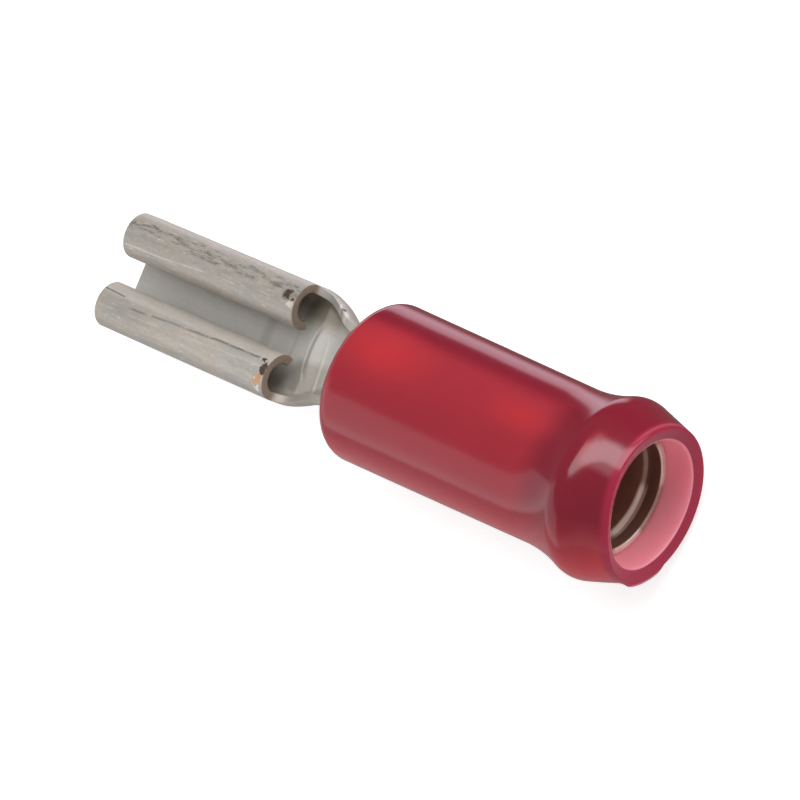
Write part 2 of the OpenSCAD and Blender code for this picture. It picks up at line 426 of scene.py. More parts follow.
class Value:
    """A socket of a shader graph that takes part in Python sums."""

    def __init__(self, graph, socket):
        self.graph = graph
        self.socket = socket

    def __add__(self, other):
        return self.graph.maths("ADD", self, other)

    def __radd__(self, other):
        return self.graph.maths("ADD", other, self)

    def __sub__(self, other):
        return self.graph.maths("SUBTRACT", self, other)

    def __rsub__(self, other):
        return self.graph.maths("SUBTRACT", other, self)

    def __mul__(self, other):
        return self.graph.maths("MULTIPLY", self, other)

    def __rmul__(self, other):
        return self.graph.maths("MULTIPLY", other, self)

    def __truediv__(self, other):
        return self.graph.maths("DIVIDE", self, other)

    def __rtruediv__(self, other):
        return self.graph.maths("DIVIDE", other, self)


class Graph:
    """The nodes of a material or a world, made in Python expressions."""

    def __init__(self, owner):
        self.owner = owner
        owner.use_nodes = True
        self.tree = owner.node_tree
        self.tree.nodes.clear()

    def socket(self, sockets, key):
        """A socket by its place, its identifier or its name."""
        if isinstance(key, int):
            return sockets[key]
        for socket in sockets:
            if socket.identifier == key:
                return socket
        return sockets[key]

    def node(self, kind, settings=None, values=None, take=0):
        """A node of that type. Its settings come first, then the values or links of its sockets."""
        made = self.tree.nodes.new(kind)
        for key, value in (settings or {}).items():
            setattr(made, key, value)
        for key, value in (values or {}).items():
            socket = self.socket(made.inputs, key)
            if isinstance(value, Value):
                self.tree.links.new(value.socket, socket)
            elif socket.type == "RGBA":
                socket.default_value = (*tuple(value)[:3], 1.0)
            else:
                socket.default_value = value
        return Value(self, self.socket(made.outputs, take))

    def maths(self, operation, *values):
        return self.node("ShaderNodeMath", {"operation": operation}, dict(enumerate(values)))

    def vector(self, operation, *values, take=0):
        return self.node("ShaderNodeVectorMath", {"operation": operation}, dict(enumerate(values)), take)

    def most(self, first, *others):
        """The greatest of several values."""
        for other in others:
            first = self.maths("MAXIMUM", first, other)
        return first

    def either(self, factor, first, second):
        """A colour between two others."""
        return self.node(
            "ShaderNodeMix",
            {"data_type": "RGBA"},
            {"Factor_Float": factor, "A_Color": first, "B_Color": second},
            "Result_Color",
        )

    def painted(self, colour, *coats):
        """A colour with others laid over it, each given as an (amount, colour) pair."""
        for amount, coat in coats:
            colour = self.either(amount, colour, coat)
        return colour

    def times(self, colour, level):
        """A colour made darker or lighter by a value."""
        return self.vector("MULTIPLY", colour, self.join(level, level, level))

    def smooth(self, value, low, high):
        """0 at low, 1 at high, with a soft passage between."""
        return self.node(
            "ShaderNodeMapRange",
            {"interpolation_type": "SMOOTHSTEP"},
            {"Value": value, "From Min": low, "From Max": high},
        )

    def noise(self, vector, scale, detail=3.0, roughness=0.5, take=0):
        values = {"Vector": vector, "Scale": scale, "Detail": detail, "Roughness": roughness}
        return self.node("ShaderNodeTexNoise", {"noise_dimensions": "3D"}, values, take)

    def shaken(self, vector, scale, reach):
        """The same place in a plane, moved about by up to a reach, for ragged outlines."""
        off = self.vector("SUBTRACT", self.noise(vector, scale, 3.0, 0.6, "Color"), (0.5, 0.5, 0.5))
        return self.vector("ADD", vector, self.vector("MULTIPLY", off, (reach * 2, reach * 2, 0.0)))

    def band(self, value, half, soft):
        """1 where a value is within half of nothing, and 0 beyond a soft passage."""
        return self.smooth(self.maths("ABSOLUTE", value), half + soft, half)

    def position(self):
        """The place on the piece in millimetres, from the nylon sleeve's front and the barrel's axis."""
        coordinates = self.node("ShaderNodeTexCoord", None, None, "Object")
        moved = self.vector("SUBTRACT", coordinates, tuple(place(0, 0, 0)))
        return self.vector("MULTIPLY", moved, (1 / MM, 1 / MM, 1 / MM))

    def near(self, point, centre, inner, outer):
        """1 within the inner distance of a place in millimetres, and 0 beyond the outer one."""
        return self.smooth(self.vector("DISTANCE", point, centre, take="Value"), outer, inner)

    def spots(self, point, places):
        """1 on any of several spots in a plane, each given by its two places and its two radii."""
        return self.most(*[self.near(point, (x, y, 0), inner, outer) for x, y, inner, outer in places])

    def oval(self, x, y, centre, shares, edge):
        """1 in the middle of an oval and 0 at its edge. A larger share makes it shorter that way."""
        off = self.join(x - centre[0], y - centre[1], 0.0)
        scaled = self.vector("MULTIPLY", off, (*shares, 0))
        return self.smooth(self.vector("LENGTH", scaled, take="Value"), edge, 0.1)

    def join(self, x, y, z):
        return self.node("ShaderNodeCombineXYZ", None, {0: x, 1: y, 2: z})

    def split(self, vector):
        node = self.node("ShaderNodeSeparateXYZ", None, {0: vector}).socket.node
        return [Value(self, node.outputs[i]) for i in range(3)]

    def bump(self, height, strength, distance):
        return self.node(
            "ShaderNodeBump",
            None,
            {"Height": height, "Strength": strength, "Distance": distance},
        )

    def principled(self, **values):
        """A Principled shader, with its sockets named with _ for a space."""
        values = {key.replace("_", " "): value for key, value in values.items()}
        return self.node("ShaderNodeBsdfPrincipled", None, values)

    def ended(self, shader, kind="ShaderNodeOutputMaterial"):
        output = self.tree.nodes.new(kind)
        self.tree.links.new(shader.socket, output.inputs["Surface"])
        return self.owner


def new_material(name):
    return Graph(bpy.data.materials.new(name))


# Spots on the flat strip: millimetres along and across it, then the radii where each starts and ends to fade
BROWN_SPOTS = (
    (3.30, -3.55, 0.10, 0.20),
    (3.05, -3.64, 0.04, 0.10),
    (3.05, 3.72, 0.09, 0.15),
    (3.05, 3.88, 0.08, 0.14),
    (3.19, 4.03, 0.05, 0.08),
)
COPPER_SPOTS = (
    (3.16, 3.40, 0.10, 0.19),
    (3.10, 3.54, 0.05, 0.12),
    (3.32, 3.33, 0.03, 0.09),
)
# A painted glint on the far roll's end; then bright spots: worn tin on the near roll's end and painted
# glints round the nick
FAR_ROLL_GLINT = (3.08, -3.80, 0.07, 0.15)
BRIGHT_SPOTS = (
    (3.22, 3.42, 0.02, 0.07),
    (3.16, 3.10, 0.06, 0.14),
    (1.46, -2.25, 0.08, 0.15),
    (1.90, -2.36, 0.05, 0.11),
)
CHIPS = (9.62, -3.38, 0.03, 0.12)
NICK = (1.68, -2.28, 0.05, 0.11)


class TinSurface:
    """Where a point lies on the folded strip, and the noises that its finish is made from.

    Along is counted from the nylon sleeve's front and across from the floor's middle, in
    millimetres of the flat strip. Across is negative on the far side.
    """

    def __init__(self, graph):
        self.graph = graph
        strip = graph.split(graph.node("ShaderNodeUVMap", {"uv_map": "strip"}))
        self.cut, self.inner, _ = graph.split(graph.node("ShaderNodeUVMap", {"uv_map": "kind"}))
        self.along = strip[0] * MAP_SPAN
        self.across = strip[1] * MAP_SPAN
        self.flat = graph.join(self.along, self.across, 0.0)
        self.outer = (1 - self.cut) * (1 - self.inner)
        self.rolls = graph.smooth(self.along, 2.7, 3.0) * self.outer
        spot = graph.position()
        self.cloud = graph.noise(spot, 1.2, 3.0, 0.6)
        self.grain = graph.noise(spot, 9.0, 4.0, 0.7)
        self.streak = self.drawn_noise(0.5, 4.0, 0.0, 2.0, 0.65)
        self.fleck = self.drawn_noise(1.1, 4.5, self.inner, 1.6, 0.68)
        self.glint = self.drawn_noise(1.4, 5.0, 5.0 + self.inner, 2.0, 0.65)
        self.wander = 0.16 * (graph.noise(graph.join(self.along, 7.0, 0.0), 0.9, 3.0, 0.5) - 0.5)

    def drawn_noise(self, along, across, layer, scale, roughness):
        """A noise that is drawn out along the strip."""
        where = self.graph.join(self.along * along, self.across * across, layer)
        return self.graph.noise(where, scale, 4.0, roughness)

    def tone(self, finish):
        """The plate: mottled on the rolls, painted lighter inside and on the near roll's top, painted darker
        in the hollows.
        """
        graph, along, across, inner = self.graph, self.along, self.across, self.inner
        # Painted shade at the neck's foot on both sides and in the hollows of the rolls
        far_foot_shade = graph.smooth(across, -0.45, -1.05) * graph.band(along - 2.8, 0.45, 0.4)
        near_foot_shade = graph.band(across - 0.9, 0.35, 0.35) * graph.band(along - 2.6, 0.35, 0.3)
        hollow = graph.smooth(graph.maths("ABSOLUTE", across), 0.9, 2.5)
        hollow = graph.most(hollow, 0.75 * far_foot_shade, 0.45 * near_foot_shade) * inner
        # Over the plain plate: a painted reflection on the far roll's side, painted light inside, painted
        # shade in the hollows and at the neck's foot, and the colour of the cut edges
        base = graph.painted(
            graph.either(graph.smooth(self.cloud, 0.42, 0.64), finish.tin, finish.tin_warm),
            (graph.band(across + 2.5, 0.2, 0.4) * 0.5, finish.tin_painted_light),
            (inner, finish.tin_painted_light),
            (hollow, finish.tin_hollow_shade),
            (self.cut * graph.smooth(along, 2.88, 2.94), finish.tin_cut),
        )
        mottle = 0.26 * (self.cloud - 0.5) + 0.44 * (self.streak - 0.5) + 0.36 * (self.grain - 0.5)
        level = 0.95 + (0.35 + 0.65 * self.outer) * mottle
        # Painted light on the near roll's upper face, and a band along its side, towards the front, made
        # lighter
        level = level + 0.30 * graph.smooth(across, 3.95, 4.15) * self.rolls
        lighter_side_band = graph.band(across - 3.64, 0.20, 0.25) * graph.smooth(along, 8.5, 6.0)
        level = level + 0.18 * lighter_side_band * self.rolls
        # Painted shade inside towards the nylon sleeve and low on the near side of the neck
        level = level - 0.14 * graph.smooth(along, 2.6, 2.0) * inner
        level = level - 0.12 * graph.smooth(across, 0.8, 1.6) * graph.smooth(along, 2.9, 2.6) * inner
        return graph.times(base, level)

    def marks(self):
        """Dark flecks along the top of the far roll, sparse ones elsewhere, chips and a scratch."""
        graph, along, across = self.graph, self.along, self.across
        ragged_across = graph.split(graph.shaken(self.flat, 1.3, 0.16))[1]
        far_top = graph.band(ragged_across + 3.36, 0.06, 0.40) * graph.smooth(along, 9.75, 9.3)
        heavy = graph.smooth(self.fleck + 0.10 * far_top, 0.54, 0.70) * far_top
        heavy = heavy * graph.smooth(self.grain, 0.30, 0.55)
        sparse = graph.smooth(self.fleck, 0.66, 0.74)
        # The thin scratch along the near roll, in two lengths
        long_line = graph.band(across - 4.222 + 0.044 * along + self.wander, 0.018, 0.03)
        long_line = long_line * graph.smooth(along, 8.6, 8.4) * graph.smooth(along, 3.3, 3.45)
        long_line = long_line * (0.7 + 0.3 * graph.smooth(along, 6.5, 4.5))
        broken = graph.smooth(graph.noise(graph.join(along, 3.0, 0.0), 1.6, 3.0, 0.6), 0.36, 0.50)
        short_line = graph.band(across - 3.63 - 0.053 * along, 0.01, 0.03) * graph.smooth(along, 8.8, 8.9)
        chips = graph.spots(graph.shaken(self.flat, 5.0, 0.25), [CHIPS])
        return graph.most(heavy, sparse * 0.5, long_line * broken, short_line, chips) * self.rolls

    def ridges(self):
        """Painted highlights along the ridges that the rolling tool left."""
        graph, along, across = self.graph, self.along, self.across
        far_ridge = graph.band(across + 3.586 + 0.052 * along + self.wander, 0.006, 0.04)
        near_ridge = graph.band(across - 3.955 + 0.039 * along + self.wander, 0.010, 0.04)
        return graph.most(far_ridge, near_ridge * 0.7) * graph.smooth(self.streak, 0.44, 0.54) * self.rolls

    def creases(self):
        """Painted highlights on crests, painted shade in a valley at the slope to the barrel, and painted
        shade in soft dents in the floor's rear.
        """
        graph, along, across, inner = self.graph, self.along, self.across, self.inner
        uneven = 0.06 * (self.cloud - 0.5)
        head = along - 2.95 + 0.22 * across * across + uneven
        foot = along - 2.37 + 0.09 * across + uneven
        middle = graph.band(across - 0.1, 0.6, 0.4) * inner
        beside = graph.band(across - 0.6, 0.6, 0.5) * inner
        crest = graph.most(graph.band(head, 0.01, 0.04) * middle, graph.band(foot, 0.02, 0.06) * beside)
        valley = graph.band(head + 0.12, 0.02, 0.06) * middle
        dents = graph.most(graph.band(along - 4.50, 0.06, 0.22), 0.6 * graph.band(along - 3.45, 0.02, 0.07))
        return crest, valley, dents * graph.band(across, 0.5, 0.7) * inner


def tin_plate(finish):
    """Satin tin plate with mottling, rubbed marks, scratches and spots worn to the metal under it, with
    painted highlights and painted shade laid in.
    """
    graph = new_material("tin_plate")
    tin = TinSurface(graph)
    marks = tin.marks()
    ridges = tin.ridges()
    # Painted highlights: small glints along the rolls
    glints = graph.smooth(tin.glint, 0.56, 0.72) * tin.rolls
    crest, valley, dents = tin.creases()
    # Wear at the rolls' rear ends, the nick in the far edge of the neck, and bright spots: worn tin on the
    # near roll's end, painted glints on the far roll's end and round the nick
    torn = graph.shaken(tin.flat, 7.0, 0.16)
    brown = graph.spots(torn, BROWN_SPOTS) * tin.rolls
    copper = graph.spots(torn, COPPER_SPOTS) * tin.rolls
    nick = graph.spots(torn, [NICK])
    bright = graph.most(graph.spots(torn, [FAR_ROLL_GLINT]) * tin.rolls, graph.spots(torn, BRIGHT_SPOTS))
    base = graph.painted(
        tin.tone(finish),
        (marks * 0.72, finish.tin_marks_and_shade),
        # Painted highlights on the ridges and the glints
        (graph.most(ridges, glints) * 0.5, finish.bright_tin_and_highlight),
        # Painted shade in the dents and the valley, and a painted highlight on the crests
        (dents * 0.2, finish.tin_marks_and_shade),
        (crest * 0.32, finish.bright_tin_and_highlight),
        (valley * 0.3, finish.tin_marks_and_shade),
        (brown * 0.92, finish.worn_brown),
        (copper, finish.bare_copper),
        (nick * 0.9, finish.tin_marks_and_shade),
        (bright, finish.bright_tin_and_highlight),
    )
    height = 0.5 * tin.streak + 0.5 * tin.grain - 0.8 * marks + 0.6 * ridges + crest - 0.6 * copper - nick
    return graph.ended(graph.principled(
        Base_Color=base,
        Metallic=0.4,
        Roughness=0.5 + 0.10 * (tin.cloud - 0.5) + 0.10 * marks + 0.08 * tin.cut - 0.2 * bright,
        Normal=graph.bump(height, 0.35, 0.02 * MM),
    ))


def red_nylon(finish, sizes):
    """Glossy translucent nylon with a painted glow where the copper lies close behind it, painted light low
    on the near side and a painted reflection on the collar.
    """
    graph = new_material("red_nylon")
    spot = graph.position()
    x, y, z = graph.split(spot)
    from_mouth = x + sizes.length / MM
    radius = graph.maths("SQRT", y * y + z * z)
    # The way round the sleeve's outside in millimetres, from its near side over the top
    outside_radius = 2.37
    turn = graph.maths("ARCTAN2", z, y) * outside_radius
    # Painted glow where the copper lies close behind the nylon, the last one a painted highlight on the
    # collar's crest
    glow = graph.most(
        graph.oval(x, turn, (-1.75, 4.72), (0.55, 1.05), 1.25),
        0.75 * graph.oval(x, turn, (-6.75, 4.64), (0.70, 1.5), 1.15),
        0.5 * graph.oval(x, turn, (-9.48, 4.57), (2.4, 1.3), 1.0),
    )
    # Painted light over the copper, stronger low on the near side
    over_copper = graph.most(graph.smooth(from_mouth, 2.1, 3.2), graph.smooth(turn, 2.8, 1.6))
    over_copper = over_copper * graph.smooth(turn, -1.2, 0.2) * graph.smooth(turn, 5.9, 5.2)
    # A painted reflection of a lamp on the collar's face
    collar_reflection = graph.band(from_mouth - 0.58, 0.35, 0.20) * graph.band(turn - 4.55, 0.30, 0.25)
    # A painted glint on the lip of flash at the mouth's edge
    lip = graph.smooth(radius, 2.29, 2.33) * graph.smooth(from_mouth, 0.2, 0.05)
    base = graph.painted(
        finish.nylon,
        (over_copper, finish.nylon_lit),
        (graph.smooth(turn, 2.0, 0.6) * over_copper, finish.nylon_floor_lit),
        (glow, finish.nylon_glow),
        (collar_reflection * 0.8, finish.nylon_collar_reflection),
        (graph.smooth(from_mouth, 0.3, 0.1), finish.nylon_rim),
        (lip, finish.nylon_bore_lit),
    )
    wave = graph.noise(spot, 0.5, 2.0, 0.4)
    base = graph.times(base, 0.92 + 0.16 * wave)
    skin = graph.bump(wave, 0.08, 0.2 * MM)
    wall = graph.principled(
        Base_Color=base,
        Roughness=0.16,
        IOR=1.53,
        Subsurface_Weight=0.25,
        Subsurface_Radius=(1.0, 0.2, 0.22),
        Subsurface_Scale=0.9 * MM,
        Normal=skin,
    )
    # The thin wall of the mouth lets light through to its bore; its pale colour and its emission are painted
    # light that stands in for that
    pressed = graph.most((PRESSED_SIDE.y * y + PRESSED_SIDE.z * z) / radius, 0.0)
    press = sizes.bore_press / MM * graph.smooth(from_mouth, 1.1, 0.0) * pressed * pressed
    beyond_bore = radius - sizes.mouth_bore / 2 / MM + press
    within = graph.smooth(beyond_bore, 0.06, 0.02) * graph.smooth(from_mouth, 1.6, 1.2)
    thin = graph.principled(
        Base_Color=finish.nylon_bore_lit,
        Roughness=0.35,
        IOR=1.53,
        Subsurface_Weight=1.0,
        Subsurface_Radius=(1.0, 0.55, 0.6),
        Subsurface_Scale=1.5 * MM,
        Emission_Color=(0.19, 0.055, 0.07),
        Emission_Strength=1.0,
        Normal=skin,
    )
    return graph.ended(graph.node("ShaderNodeMixShader", None, {0: within, 1: wall, 2: thin}))


def drawn_copper(finish, sizes, rear):
    """Dark drawn copper, with a painted highlight along the funnel's foot, painted glints on its rear edge,
    and faint rings from its tool.
    """
    graph = new_material("drawn_copper")
    spot = graph.position()
    x, y, z = graph.split(spot)
    rings = graph.noise(graph.join(x * 6, 0.0, 0.0), 2.0, 3.0, 0.6)
    patina = graph.noise(spot, 2.2, 4.0, 0.65)
    radius = graph.maths("SQRT", y * y + z * z)
    # Painted highlights: an arc along the funnel's foot and glints on the rear edge, strongest in windows
    # round the axis
    low = graph.smooth((0.31 * y - 0.95 * z) / radius, 0.80, 0.93)
    lowest = graph.smooth((0.73 * y - 0.68 * z) / radius, 0.92, 0.97)
    far = graph.smooth((-0.68 * y - 0.73 * z) / radius, 0.88, 0.95)
    from_rear = x - rear / MM
    foot = graph.band(from_rear - sizes.entry_length / MM, 0.09, 0.05) * (0.1 + 0.9 * low)
    edge = graph.smooth(from_rear, 0.07, 0.03) * (0.35 + 0.65 * graph.most(lowest, far))
    base = graph.either(graph.most(foot, edge), finish.copper, finish.copper_highlight)
    base = graph.times(base, 0.75 + 0.5 * patina)
    return graph.ended(graph.principled(
        Base_Color=base,
        Metallic=0.5,
        Roughness=0.34 + 0.16 * rings,
        Normal=graph.bump(rings + patina, 0.2, 0.02 * MM),
    ))


def pale_floor(colour, white, card):
    """A pale floor that keeps the object's shadow, with some plain white for the camera.

    Reflections see it dim, as the photograph's do, with a white card along the far side.
    """
    graph = new_material("pale_floor")
    camera, glossy, through = [
        graph.node("ShaderNodeLightPath", None, None, ray)
        for ray in ("Is Camera Ray", "Is Glossy Ray", "Is Transmission Ray")
    ]
    along, across, _ = graph.split(graph.position())
    on_card = graph.smooth(across, -4.0, -6.0) * graph.smooth(across, -12.0, -9.5)
    on_card = on_card * graph.smooth(along, -6.5, -4.5)
    near = graph.smooth(across, -3.0, -1.0)
    far_share = 0.25
    near_share = 0.72
    near_light = 0.06
    card_tint = (1.0, 0.87, 1.0)
    far_colour = [far_share * part for part in colour]
    near_colour = [near_share * part for part in colour]
    mirrored = graph.either(near, far_colour, near_colour)
    lit = graph.node("ShaderNodeBsdfDiffuse", None, {"Color": graph.either(glossy, tuple(colour), mirrored)})
    strength = graph.most(camera, through) * white + glossy * (on_card * card + near * near_light)
    shade = graph.either(glossy, (1.0, 1.0, 1.0), card_tint)
    shown = graph.node("ShaderNodeEmission", None, {"Color": shade, "Strength": strength})
    return graph.ended(graph.node("ShaderNodeAddShader", None, {0: lit, 1: shown}))


# The folded strip

class Strip:
    """The outline of the folded strip at any place along the receptacle."""

    def __init__(self, sizes):
        self.sizes = sizes
        self.stock = sizes.strip
        self.barrel_r = sizes.barrel_bore / 2 + sizes.strip
        self.half_w = sizes.width / 2
        self.roll_r = (self.half_w - sizes.gap / 2) / 2
        self.floor_z = sizes.strip - self.barrel_r
        self.roll_z = self.floor_z + sizes.height - self.roll_r
        self.box_rear = sizes.neck_length
        self.box_front = sizes.neck_length + sizes.box_length
        self.crease_x = self.box_rear - sizes.crease_setback
        self.ramp_end = self.crease_x - sizes.ramp_length
        self.step_x = self.box_rear - sizes.step_length
        self.reach = sizes.barrel_reach

    def form(self, x):
        """Half width, floor height, floor bend, upper radius, its height and the lean of the edge."""
        sizes = self.sizes
        t = ease((x - sizes.flare) / (self.box_rear - sizes.flare))
        ramp = min(1.0, max(0.0, (x - self.ramp_end) / sizes.ramp_length))
        step = min(1.0, max(0.0, (x - self.step_x) / sizes.step_length))
        step = 1 - math.sqrt(1 - step * step)
        floor = mix(-self.barrel_r, self.floor_z, ramp)
        bend = mix(self.barrel_r, sizes.floor_bend, t)
        lean = mix(sizes.closed_lean, sizes.edge_lean, ease((x - self.reach) / (self.step_x - self.reach)))
        lean = mix(lean, sizes.step_lean, step)
        if x < self.reach:
            slope = min(1.0, (self.reach - x) / (self.reach + sizes.closure))
            start = math.sin(sizes.closed_lean)
            closed = math.pi / 2 - sizes.seam / 2 / self.barrel_r
            lean = min(closed, math.asin(min(1.0, mix(start, 1.0, slope))))
        return (
            mix(self.barrel_r, self.half_w, t),
            floor,
            bend,
            mix(bend, self.roll_r, step),
            mix(floor + bend, self.roll_z, step),
            lean,
        )

    def stretches(self, x, lean=None):
        """Lengths of the floor, bend, wall and upper arc along the strip's outer face."""
        width, floor, bend, upper, upper_z, own_lean = self.form(x)
        angle = own_lean if lean is None else lean
        return (width - bend, bend * math.pi / 2, upper_z - floor - bend, upper * angle)

    def point(self, x, s):
        """The place and outward normal, in Y and Z, at a length s from the floor's middle."""
        width, floor, bend, upper, upper_z, lean = self.form(x)
        flat, curve, wall, _ = self.stretches(x)
        if s <= flat:
            return (s, floor), (0.0, -1.0)
        s -= flat
        if s <= curve:
            angle = s / bend - math.pi / 2
            normal = (math.cos(angle), math.sin(angle))
            return (width - bend + bend * normal[0], floor + bend + bend * normal[1]), normal
        s -= curve
        if s <= wall:
            return (width, floor + bend + s), (1.0, 0.0)
        s -= wall
        angle = s / upper
        normal = (math.cos(angle), math.sin(angle))
        return (width - upper + upper * normal[0], upper_z + upper * normal[1]), normal

    def pushed(self, x, y, z):
        """The place as the real strip has it, bent a little off the middle and drawn at the rolls' ends."""
        sizes = self.sizes
        bent_from = 1.0 * MM
        bent_fully = 1.8 * MM
        drawn_from = 2.0 * MM
        less_drawn_near = 0.4
        neck = mix(0.0, sizes.neck_offset, ease((x - bent_from) / (bent_fully - bent_from)))
        sideways = mix(neck, sizes.box_offset, ease((x - bent_fully) / (self.box_rear - bent_fully)))
        beyond = max(0.0, x - self.box_rear)
        sideways -= beyond * sizes.box_slew
        pull = sizes.end_pull * ease((x - drawn_from) / (self.box_rear - drawn_from))
        pull *= (1 - less_drawn_near * y / self.half_w) * max(0.0, 1 - beyond / sizes.box_length)
        return (x - pull, y - sideways, z)

    def section(self, x, lengths, side):
        """Outer and inner points at the given lengths on one side, as (place, length) pairs."""
        outer = []
        inner = []
        for s in lengths:
            (y, z), normal = self.point(x, s)
            outer.append((self.pushed(x, side * y, z), (x, side * s)))
            deep = self.pushed(x, side * (y - normal[0] * self.stock), z - normal[1] * self.stock)
            inner.append((deep, (x, side * s)))
        return outer, inner


def spread(first, last, steps):
    return [mix(first, last, i / steps) for i in range(steps + 1)]


def folded_strip(sizes):
    """The receptacle as one closed mesh, with a map of the flat strip in its UVs.

    A second map says of each face whether it is a cut edge (U) and whether it is inside (V).
    """
    strip = Strip(sizes)
    half_steps = 46
    roll_steps = 40
    box_steps = 54
    step_steps = 9
    ramp_steps = 14
    neck_steps = 16
    closing_steps = 18
    barrel_steps = 30
    work = bmesh.new()
    flat_map = work.loops.layers.uv.new("strip")
    kind_map = work.loops.layers.uv.new("kind")
    flat_places = {}

    def vertex(place_and_flat):
        where, flat = place_and_flat
        made = work.verts.new(place(*where))
        flat_places[made] = flat
        return made

    def loop(x, lengths):
        """Outer and inner vertices from the left free edge to the right one."""
        left_out, left_in = strip.section(x, lengths, -1)
        right_out, right_in = strip.section(x, lengths, 1)
        outer = [vertex(p) for p in reversed(left_out)] + [vertex(p) for p in right_out[1:]]
        inner = [vertex(p) for p in reversed(left_in)] + [vertex(p) for p in right_in[1:]]
        return outer, inner

    def face(*corners, cut=0, inner=0):
        made = work.faces.new(corners)
        for corner in made.loops:
            px, s = flat_places[corner.vert]
            corner[flat_map].uv = (px / MM / MAP_SPAN, s / MM / MAP_SPAN)
            corner[kind_map].uv = (cut, inner)
        made.smooth = True

    def skin(first, second):
        """Faces between two neighbouring loops, which have as many points each."""
        for i in range(len(first[0]) - 1):
            face(first[0][i], first[0][i + 1], second[0][i + 1], second[0][i])
            face(first[1][i + 1], first[1][i], second[1][i], second[1][i + 1], inner=1)
        face(first[0][0], second[0][0], second[1][0], first[1][0], cut=1)
        face(second[0][-1], first[0][-1], first[1][-1], second[1][-1], cut=1)

    def end(ring, low, high, forward):
        """A cut end of the strip, between two places round its outline."""
        for i in range(low, high):
            corners = [ring[0][i], ring[0][i + 1], ring[1][i + 1], ring[1][i]]
            face(*(corners if forward else reversed(corners)), cut=1)

    neck_length = sum(strip.stretches(strip.box_rear))
    roll_length = sum(strip.stretches(strip.box_rear, sizes.roll_turn))
    neck_lengths = spread(0, neck_length, half_steps)
    box_lengths = neck_lengths + spread(neck_length, roll_length, roll_steps)[1:]

    box = [loop(x, box_lengths) for x in spread(strip.box_rear, strip.box_front, box_steps)]
    for first, second in zip(box, box[1:]):
        skin(second, first)
    last = len(box[0][0]) - 1
    end(box[-1], 0, last, True)
    end(box[0], 0, roll_steps, False)
    end(box[0], last - roll_steps, last, False)

    rounding = [math.sin(angle) for angle in spread(math.pi / 2, 0, step_steps)]
    stations = [mix(strip.crease_x, strip.box_rear, part) for part in rounding][1:]
    for first, second, steps in (
        (strip.crease_x, strip.ramp_end, ramp_steps),
        (strip.ramp_end, strip.reach, neck_steps),
        (strip.reach, -sizes.closure, closing_steps),
        (-sizes.closure, -sizes.barrel_length, barrel_steps),
    ):
        stations += spread(first, second, steps)[1:]
    before = tuple(ring[roll_steps:last - roll_steps + 1] for ring in box[0])
    for x in stations:
        here = loop(x, spread(0, sum(strip.stretches(x)), half_steps))
        skin(before, here)
        before = here
    end(before, 0, len(before[0]) - 1, False)

    mesh = bpy.data.meshes.new("receptacle_strip")
    work.to_mesh(mesh)
    work.free()
    turn_faces_outward(mesh)
    return mesh


def finished(piece):
    """The same object with its modifiers made real."""
    evaluated = piece.evaluated_get(bpy.context.evaluated_depsgraph_get())
    mesh = bpy.data.meshes.new_from_object(evaluated)
    piece.modifiers.clear()
    piece.data = mesh
    return piece


# Outlines of the turned parts

def sleeve_outline(sizes):
    """Closed outline of the nylon sleeve, as (radius, x) pairs."""
    front_c = (sizes.front / 2 - sizes.front_round, -sizes.front_round)
    crest_x = sizes.collar_setback - sizes.length
    crest_c = (sizes.collar / 2 - sizes.collar_round, crest_x)
    both = sizes.collar_round + sizes.waist_round
    swing = math.acos(1 - (sizes.collar - sizes.waist) / 2 / both)
    waist_c = (sizes.waist / 2 + sizes.waist_round, crest_x + both * math.sin(swing))
    mouth = (sizes.mouth / 2, -sizes.length)
    to_mouth = (mouth[0] - crest_c[0], mouth[1] - crest_c[1])
    touch = math.atan2(to_mouth[1], to_mouth[0]) + math.acos(sizes.collar_round / math.hypot(*to_mouth))
    bore = sizes.mouth_bore / 2
    cavity = sizes.cavity / 2
    copper_x = sizes.mouth_depth - sizes.length
    rim = (bore, sizes.dish - sizes.length)
    outside = arc(front_c, sizes.front_round, math.pi / 2, 0, 14)
    outside += arc(waist_c, sizes.waist_round, math.pi, math.pi + swing, 18)
    outside += arc(crest_c, sizes.collar_round, swing, touch, 26)
    rim_edge = rounded_corner(outside[-1], mouth, rim, sizes.mouth_round)
    bore_edge = rounded_corner(mouth, rim, (bore, copper_x), sizes.mouth_round)
    seat_x = copper_x + sizes.seat
    inside = [(bore, seat_x), (cavity, seat_x + sizes.taper)]
    front_edge = rounded_corner(inside[1], (cavity, 0.0), outside[0], sizes.inner_round)
    return outside + rim_edge + bore_edge + inside + front_edge


def support_outline(sizes, rear):
    """Closed outline of the copper sleeve, as (radius, x) pairs."""
    entry = sizes.entry_bore / 2
    barrel = sizes.barrel_bore / 2
    funnel_rear = rear + sizes.entry_length
    funnel_front = funnel_rear + sizes.funnel_length
    front = -sizes.setback
    ledge_slope = 0.7
    corners = [
        (entry, rear),
        (entry + sizes.wall, rear),
        (entry + sizes.wall, funnel_rear),
        (barrel + sizes.wall, funnel_front),
        (barrel + sizes.wall, front),
        (barrel, front),
        (barrel, funnel_front),
        (entry - sizes.ledge, funnel_rear + ledge_slope * sizes.ledge),
        (entry, funnel_rear),
    ]
    ends = [sizes.edge_round] * 2
    radii = ends + [sizes.bend_round] * 2 + ends + [sizes.throat_round] + [sizes.ledge_round] * 2
    points = []
    for i, corner in enumerate(corners):
        before = corners[i - 1]
        after = corners[(i + 1) % len(corners)]
        points += rounded_corner(before, corner, after, radii[i])
    return points


